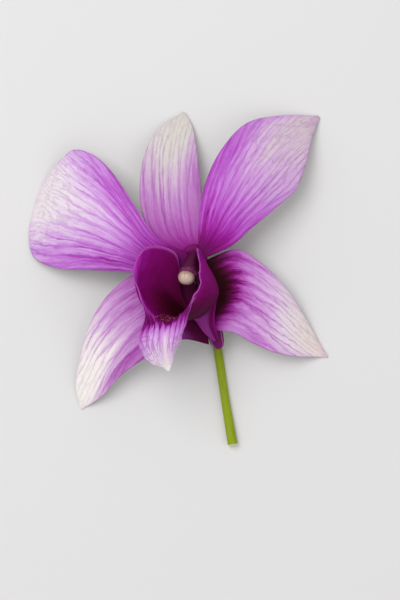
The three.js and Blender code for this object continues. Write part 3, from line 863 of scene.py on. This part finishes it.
# A solid limb along a spine, from stations of (x, y, z, half width, half depth) in mm. shape gives
# the outline's reach at each angle and each share of the length.
def limbObject(name, stations, rows, sides, shape):
    stations = np.array(stations, float)
    t = np.linspace(0, 1, rows)
    spine = alongCurve(stations[:, None, :3], t)[:, 0]
    widths = np.concatenate([stations[:, 3:], 0 * stations[:, :1]], 1)
    reach = alongCurve(widths[:, None], t)[:, 0]
    ahead = np.gradient(spine, axis=0)
    ahead /= np.linalg.norm(ahead, axis=1, keepdims=True)
    side = np.array([1.0, 0, 0]) - ahead * ahead[:, :1]
    side /= np.linalg.norm(side, axis=1, keepdims=True)
    up = np.cross(side, ahead)
    angle = np.linspace(0, 2 * np.pi, sides, endpoint=False)
    factor = shape(angle[None, :], t[:, None])
    x = reach[:, 0:1] * np.cos(angle) * factor
    y = reach[:, 1:2] * np.sin(angle) * factor
    points = spine[:, None] + side[:, None] * x[..., None] + up[:, None] * y[..., None]
    points[..., 2] = np.maximum(points[..., 2], 0)
    index = np.arange(rows * sides).reshape(rows, sides)
    turned = np.roll(index, -1, 1)
    faces = np.stack([index[:-1], index[1:], turned[1:], turned[:-1]], 2).reshape(-1, 4).tolist()
    faces.append(index[0].tolist())
    faces.append(index[-1, ::-1].tolist())
    mesh = smoothMesh(name, points.reshape(-1, 3), faces)
    mark(mesh, "length", np.repeat(t, sides))
    mark(mesh, "turn", np.tile(angle, rows))
    return placed(name, mesh)


columnLook = {
    "stations": [
        (-0.6, 1.2, 10.5, 1.8, 1.8), (-0.6, 1.0, 12.4, 1.75, 1.7), (-0.9, 0.3, 14.8, 1.75, 1.6),
        (-1.5, -1.2, 17.0, 1.85, 1.7), (-2.25, -3.2, 18.85, 1.85, 1.7),
    ],
    "foot": 0.75,
    "wing": 0.28,
    "hollow": 0.35,
    # The skin darkens towards its middle partly as painted shade of the column deep in the lip's tube, over
    # its own dark magenta.
    "skin": [
        (0.0, tint(118, 6, 98)), (0.2, tint(98, 3, 76)), (0.55, tint(62, 0, 36)),
        (0.85, tint(72, 4, 48)), (1.0, tint(120, 50, 100)),
    ],
}


# Rounded behind, flatter in front with the stigma's hollow near the tip, and a wing on each side.
def columnShape(angle, t):
    towardsLip = np.clip(np.sin(angle), 0, 1)
    front = 1 - 0.18 * towardsLip ** 2
    hollow = columnLook["hollow"] * towardsLip ** 6 * np.exp(-((t - 0.82) / 0.12) ** 2)
    wings = columnLook["wing"] * np.abs(np.cos(angle)) ** 10 * np.clip((t - 0.45) / 0.5, 0, 1)
    rounding = np.where(t > 0.93, np.sqrt(np.clip(1 - ((t - 0.93) / 0.08) ** 2, 0.05, 1)), 1.0)
    foot = columnLook["foot"] * np.exp(-(t / 0.13) ** 2)
    return (front - hollow + wings + foot) * rounding


def columnPaint():
    paint = Paint("column_skin")
    length = paint.attribute("length")
    grain = paint.noise(paint.place(), 900.0, 3.0)
    colour = paint.ramp(paint.add(length, paint.mul(paint.sub(grain, 0.5), 0.3)), columnLook["skin"])
    relief = paint.add(paint.cells(paint.place(), 6000.0), paint.mul(grain, 0.6))
    return paint.finish(
        colour, 0.36, paint.bump(relief, 0.00008, 0.6), Subsurface_Weight=0.1, Subsurface_Scale=0.0006,
        Specular_IOR_Level=0.15)


columnPiece = limbObject("column_skin", columnLook["stations"], 90, 72, columnShape)
seat(columnPiece, columnPaint(), "column", "column")

mentumLook = {
    "stations": [
        (-0.1, -0.5, 8.3, 1.1, 1.1), (0.4, -2.2, 8.2, 1.9, 1.7), (2.0, -9.0, 8.1, 2.2, 1.8),
        (3.8, -15.6, 7.7, 2.1, 1.8), (4.9, -19.2, 7.3, 1.7, 1.6), (5.4, -20.9, 7.0, 0.9, 0.9),
    ],
    "skin": [
        (0.0, tint(70, 2, 46)), (0.3, tint(78, 4, 54)), (0.6, tint(92, 10, 70)), (1.0, tint(110, 10, 90)),
    ],
    "seam": tint(188, 112, 178), "seamPlace": 0.8, "seamDepth": 0.06,
}


# A blunt chin with a shallow seam on each side, where the lateral sepals' feet join it.
def mentumShape(angle, t):
    seam = np.exp(-((np.abs(np.cos(angle)) - mentumLook["seamPlace"]) / 0.08) ** 2) * np.sin(np.pi * t)
    rounding = np.where(t > 0.93, np.sqrt(np.clip(1 - ((t - 0.93) / 0.072) ** 2, 0.02, 1)), 1.0)
    return (1 - mentumLook["seamDepth"] * seam) * rounding


def mentumPaint():
    paint = Paint("mentum_skin")
    length = paint.attribute("length")
    turn = paint.attribute("turn")
    cosine = paint.math("COSINE", turn)
    around = paint.vector(
        paint.mul(length, 5.0), paint.mul(paint.math("SINE", turn), 6.0), paint.mul(cosine, 6.0))
    streak = paint.noise(around, 1.0, 4.0)
    shift = paint.mul(paint.sub(streak, 0.5), 0.5)
    colour = paint.ramp(paint.add(length, shift), mentumLook["skin"])
    besideSeam = paint.math("ABSOLUTE", paint.sub(paint.math("ABSOLUTE", cosine), mentumLook["seamPlace"]))
    colour = paint.mix(paint.mul(paint.rise(besideSeam, 0.09, 0.02), 0.7), colour, mentumLook["seam"])
    relief = paint.add(paint.mul(streak, 0.8), paint.mul(paint.cells(paint.place(), 6000.0), 0.5))
    return paint.finish(
        colour, 0.45, paint.bump(relief, 0.00009, 0.6), Subsurface_Weight=0.1, Subsurface_Scale=0.0006,
        Specular_IOR_Level=0.12)


mentumPiece = limbObject("mentum_skin", mentumLook["stations"], 110, 64, mentumShape)
seat(mentumPiece, mentumPaint(), "mentum", "mentum")

cap = {
    "radius": 2.05, "height": 2.15, "wall": 0.45, "flatness": 0.93,
    "notch": 0.22, "crease": 0.12,
    "seatPoint": (-2.3, -3.3, 19.0), "lift": 0.3,  # at the column's tip, and how far the cap stands off it
    "rings": 40, "sides": 96,
    # From the darker foot to the lighter top: painted shade down the dome's sides and painted light on its
    # peak, with a brownish tinge at the foot.
    "top": tint(192, 166, 150), "side": tint(164, 130, 118), "foot": tint(120, 62, 70),
    "speck": tint(92, 46, 40),
}


# The helmet over the pollinia: a hollow dome with a crease down its middle and a notch in front.
def capObject(spec):
    seatPoint = np.array(spec["seatPoint"])
    ahead = seatPoint - np.array(columnLook["stations"][-2][:3])
    ahead /= np.linalg.norm(ahead)
    foot = seatPoint + spec["lift"] * ahead
    side = np.cross(np.array([0, 1.0, 0]), ahead)
    side /= np.linalg.norm(side)
    front = np.cross(ahead, side)
    rings, sides = spec["rings"], spec["sides"]
    angle = np.linspace(0, 2 * np.pi, sides, endpoint=False)[None, :]
    rise = np.linspace(0, np.pi / 2, rings)[:, None]
    away = np.clip(-np.sin(angle), 0, 1)
    crease = spec["crease"] * np.exp(-(np.cos(angle) / 0.16) ** 2) * np.sin(2 * rise).clip(0, 1)
    notch = spec["notch"] * away ** 30 * np.cos(rise) ** 6
    puff = 1 + 0.05 * np.sin(2 * rise) - crease - notch
    x = spec["radius"] * np.cos(rise) * np.cos(angle) * puff
    y = spec["radius"] * spec["flatness"] * np.cos(rise) * np.sin(angle) * puff
    z = spec["height"] * np.sin(rise) * (1 - 0.5 * crease) + 0 * angle
    outer = np.stack([x, y, z], 2)
    shrink = (spec["radius"] - spec["wall"]) / spec["radius"]
    inner = np.stack([x * shrink, y * shrink, z * (spec["height"] - spec["wall"]) / spec["height"]], 2)
    outer, inner = outer[:-1], inner[:-1]
    rows = rings - 1
    peak = np.array([[0, 0, spec["height"]], [0, 0, spec["height"] - spec["wall"]]])
    local = np.concatenate([outer.reshape(-1, 3), inner.reshape(-1, 3), peak])
    index = np.arange(rows * sides).reshape(rows, sides)
    turned = np.roll(index, -1, 1)
    size = rows * sides
    quads = np.stack([index[:-1], turned[:-1], turned[1:], index[1:]], 2).reshape(-1, 4)
    within = np.stack([index[:-1], index[1:], turned[1:], turned[:-1]], 2).reshape(-1, 4) + size
    brim = np.stack([index[0], index[0] + size, turned[0] + size, turned[0]], 1)
    faces = quads.tolist() + within.tolist() + brim.tolist()
    faces += [[int(a), int(b), 2 * size] for a, b in zip(index[-1], turned[-1])]
    faces += [[int(b) + size, int(a) + size, 2 * size + 1] for a, b in zip(index[-1], turned[-1])]
    points = foot + local[:, :1] * side + local[:, 1:2] * front + local[:, 2:] * ahead
    mesh = smoothMesh("anther_cap_skin", points, faces)
    mark(mesh, "height", local[:, 2] / spec["height"])
    return placed("anther_cap_skin", mesh)


def capPaint(spec):
    paint = Paint("anther_cap_wax")
    height = paint.attribute("height")
    grain = paint.noise(paint.place(), 700.0, 3.0)
    level = paint.add(height, paint.mul(paint.sub(grain, 0.5), 0.25))
    # Painted light and shade: darker at the brim, lighter towards the peak.
    colour = paint.ramp(level, [(0.0, spec["foot"]), (0.22, spec["side"]), (0.75, spec["top"])])
    speck = paint.mul(paint.rise(paint.cells(paint.place(), 2100.0), 0.3, 0.16), paint.rise(height, 0.5, 0.2))
    colour = paint.mix(paint.mul(speck, 0.75), colour, spec["speck"])
    relief = paint.add(paint.mul(grain, 0.7), paint.mul(paint.cells(paint.place(), 5000.0), 0.5))
    return paint.finish(
        colour, 0.38, paint.bump(relief, 0.00007, 0.6), Subsurface_Weight=0.3, Subsurface_Scale=0.0007,
        Subsurface_Radius=(1.0, 0.8, 0.6), Coat_Weight=0.2, Coat_Roughness=0.25)


seat(capObject(cap), capPaint(cap), "anther_cap", "anther_cap")


# The four pollen masses keep their CAD shape and get a waxy skin.
def pollenPaint():
    paint = Paint("pollinia_wax")
    grain = paint.noise(paint.place(), 2500.0, 2.0)
    colour = paint.mix(grain, tint(232, 176, 40), tint(244, 206, 92))
    return paint.finish(
        colour, 0.3, paint.bump(grain, 0.00004, 0.5), Subsurface_Weight=0.2, Subsurface_Scale=0.0004)


wax = pollenPaint()
for number in range(1, 5):
    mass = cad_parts[f"pollinium_{number}"]
    mass.data.materials.clear()
    mass.data.materials.append(wax)
print("the column, mentum and anther cap are in place")


stalk = {
    # x, y, z and radius in mm, from the ovary's top to the cut end.
    "spine": [
        (-0.6, 1.3, 10.1, 1.7), (-0.5, 1.6, 8.4, 1.55), (0.0, 0.8, 5.8, 1.45), (0.7, -1.8, 3.4, 1.33),
        (2.0, -6.0, 1.9, 1.22), (3.4, -12.0, 1.25, 1.12), (5.0, -21.0, 1.02, 1.05),
        (6.8, -33.0, 1.02, 1.05), (8.4, -42.6, 1.12, 1.2), (8.7, -44.2, 1.15, 1.22),
    ],
    "ribs": 6, "ribDepth": 0.09, "steps": 260, "sides": 48,
    "ovaryLength": 0.3,
    "ovary": tint(92, 14, 66), "neck": tint(150, 156, 60),
    "stem": tint(138, 154, 18), "shade": tint(108, 130, 8), "cut": tint(214, 214, 160),
}


# Sweeps a ring down the spine and raises the ovary's ribs.
def stalkGrowth(material):
    growth = Growth("stalk_growth")
    growth.input("Spine", "NodeSocketGeometry")
    growth.input("Ribs", "NodeSocketFloat", 6.0)
    growth.input("RibDepth", "NodeSocketFloat", 0.0001)
    growth.input("OvaryLength", "NodeSocketFloat", 0.3)
    growth.input("Sides", "NodeSocketInt", 48)
    growth.output("Stalk", "NodeSocketGeometry")
    inputs = growth.node("NodeGroupInput")
    outputs = growth.node("NodeGroupOutput")
    toCurve = growth.node("GeometryNodeMeshToCurve")
    growth.link(inputs.outputs["Spine"], toCurve.inputs["Mesh"])
    along = growth.node("GeometryNodeSplineParameter")
    markedSpine = growth.keep(toCurve.outputs["Curve"], "length", along.outputs["Factor"])
    ring = growth.node("GeometryNodeCurvePrimitiveCircle")
    ring.inputs["Radius"].default_value = 1.0
    growth.link(inputs.outputs["Sides"], ring.inputs["Resolution"])
    ringAlong = growth.node("GeometryNodeSplineParameter")
    markedRing = growth.keep(ring.outputs["Curve"], "turn", ringAlong.outputs["Factor"])
    sweep = growth.node("GeometryNodeCurveToMesh")
    sweep.inputs["Fill Caps"].default_value = True
    growth.link(growth.read("thickness"), sweep.inputs["Scale"])
    growth.link(markedSpine, sweep.inputs["Curve"])
    growth.link(markedRing, sweep.inputs["Profile Curve"])
    ribTurn = growth.math("MULTIPLY", growth.read("turn"), inputs.outputs["Ribs"])
    wave = growth.math("COSINE", growth.math("MULTIPLY", ribTurn, fullTurn))
    ovaryShare = growth.math("DIVIDE", growth.read("length"), inputs.outputs["OvaryLength"])
    fade = growth.math("MAXIMUM", growth.math("SUBTRACT", 1.0, ovaryShare), 0.15)  # ribs never quite end
    rise = growth.math("MULTIPLY", growth.math("MULTIPLY", wave, fade), inputs.outputs["RibDepth"])
    normal = growth.node("GeometryNodeInputNormal")
    shift = growth.node("ShaderNodeVectorMath", operation="SCALE")
    growth.link(normal.outputs[0], shift.inputs[0])
    growth.link(rise, shift.inputs["Scale"])
    move = growth.node("GeometryNodeSetPosition")
    growth.link(sweep.outputs["Mesh"], move.inputs["Geometry"])
    growth.link(shift.outputs[0], move.inputs["Offset"])
    smooth = growth.node("GeometryNodeSetShadeSmooth")
    growth.link(move.outputs["Geometry"], smooth.inputs["Geometry"])
    realise = growth.node("GeometryNodeRealizeInstances")
    growth.link(smooth.outputs["Geometry"], realise.inputs["Geometry"])
    dress = growth.node("GeometryNodeSetMaterial")
    dress.inputs["Material"].default_value = material
    growth.link(realise.outputs["Geometry"], dress.inputs["Geometry"])
    growth.link(dress.outputs["Geometry"], outputs.inputs[0])
    return growth


def stalkPaint(spec):
    paint = Paint("stalk_skin")
    length = paint.attribute("length")
    turn = paint.mul(paint.attribute("turn"), fullTurn)
    ring = paint.vector(
        paint.mul(length, 9.0), paint.mul(paint.math("SINE", turn), 5.0),
        paint.mul(paint.math("COSINE", turn), 5.0))
    streak = paint.sub(paint.noise(ring, 1.0, 4.0, 0.6), 0.5)
    level = paint.add(length, paint.mul(streak, 0.12))
    stops = [(0.0, spec["ovary"]), (0.2, spec["neck"]), (0.45, spec["stem"]), (1.0, spec["stem"])]
    colour = paint.ramp(level, stops)
    colour = paint.mix(paint.rise(streak, 0.0, 0.25), colour, spec["shade"])
    speck = paint.rise(paint.cells(paint.place(), 1500.0), 0.16, 0.08)
    colour = paint.mix(paint.mul(speck, 0.35), colour, spec["cut"])
    colour = paint.mix(paint.rise(length, 0.997, 0.9995), colour, spec["cut"])
    relief = paint.add(paint.mul(streak, 0.8), paint.mul(paint.cells(paint.place(), 5000.0), 0.4))
    return paint.finish(
        colour, 0.42, paint.bump(relief, 0.0001, 0.6), Subsurface_Weight=0.15, Subsurface_Scale=0.0008,
        Subsurface_Radius=(0.8, 1.0, 0.2), Specular_IOR_Level=0.2)


def stalkObject(spec):
    stations = np.array(spec["spine"], float)
    t = np.linspace(0, 1, spec["steps"])
    spine = alongCurve(stations[:, None, :3], t)[:, 0]
    thickness = np.interp(t, np.linspace(0, 1, len(stations)), stations[:, 3])
    mesh = bpy.data.meshes.new("stalk_spine")
    edges = [(k, k + 1) for k in range(len(t) - 1)]
    mesh.from_pydata(((spine + np.array(heart)) * mm).tolist(), edges, [])
    mark(mesh, "thickness", thickness * mm)
    source = placed("stalk_spine", mesh)
    made = stalkGrowth(stalkPaint(spec)).grow(
        source, "stalk_skin", Ribs=float(spec["ribs"]), RibDepth=spec["ribDepth"] * mm,
        OvaryLength=spec["ovaryLength"], Sides=spec["sides"])
    bpy.data.objects.remove(source)
    return made


stalkPiece = stalkObject(stalk)
seat(stalkPiece, None, "stalk", "pedicel_with_ovary")
print("the stalk is in place")


studio = {
    "floor": tint(217, 216, 216), "floorReach": 3.0, "floorRoughness": 0.8,
    "world": 0.6,
    "key": 3.6, "keySize": 0.5, "keyPlace": (-0.25, 0.25, 0.7),
    "fill": 1.0, "fillSize": 0.8, "fillPlace": (0.5, -0.4, 0.6),
    "lampAim": (0, 0, 0.01),
    "lens": 200.0, "height": 0.81,
    "lookAt": (0.72, -9.12),
}


def floorPiece():
    mesh = bpy.data.meshes.new("floor")
    reach = studio["floorReach"]
    corners = [(-reach, -reach, 0), (reach, -reach, 0), (reach, reach, 0), (-reach, reach, 0)]
    mesh.from_pydata(corners, [], [(0, 1, 2, 3)])
    mesh.materials.append(Paint("floor_paint").finish(studio["floor"], studio["floorRoughness"]))
    placed("floor", mesh)


def lamp(name, power, size, place):
    data = bpy.data.lights.new(name, "AREA")
    data.energy = power
    data.size = size
    light = placed(name, data)
    light.location = place
    light.rotation_euler = (Vector(studio["lampAim"]) - Vector(place)).to_track_quat("-Z", "Y").to_euler()


floorPiece()
lamp("key", studio["key"], studio["keySize"], studio["keyPlace"])
lamp("fill", studio["fill"], studio["fillSize"], studio["fillPlace"])
world = bpy.data.worlds.new("studio")
world.use_nodes = True
world.node_tree.nodes["Background"].inputs["Color"].default_value = (1, 1, 1, 1)
world.node_tree.nodes["Background"].inputs["Strength"].default_value = studio["world"]
bpy.context.scene.world = world
bpy.context.scene.view_settings.view_transform = "Standard"

camera = placed("camera", bpy.data.cameras.new("camera"))
camera.data.lens = studio["lens"]
acrossTable, alongTable = ((heart[axis] + studio["lookAt"][axis]) * mm for axis in (0, 1))
camera.location = (acrossTable, alongTable, studio["height"])
bpy.context.scene.camera = camera
print("floor, light and camera are in place")
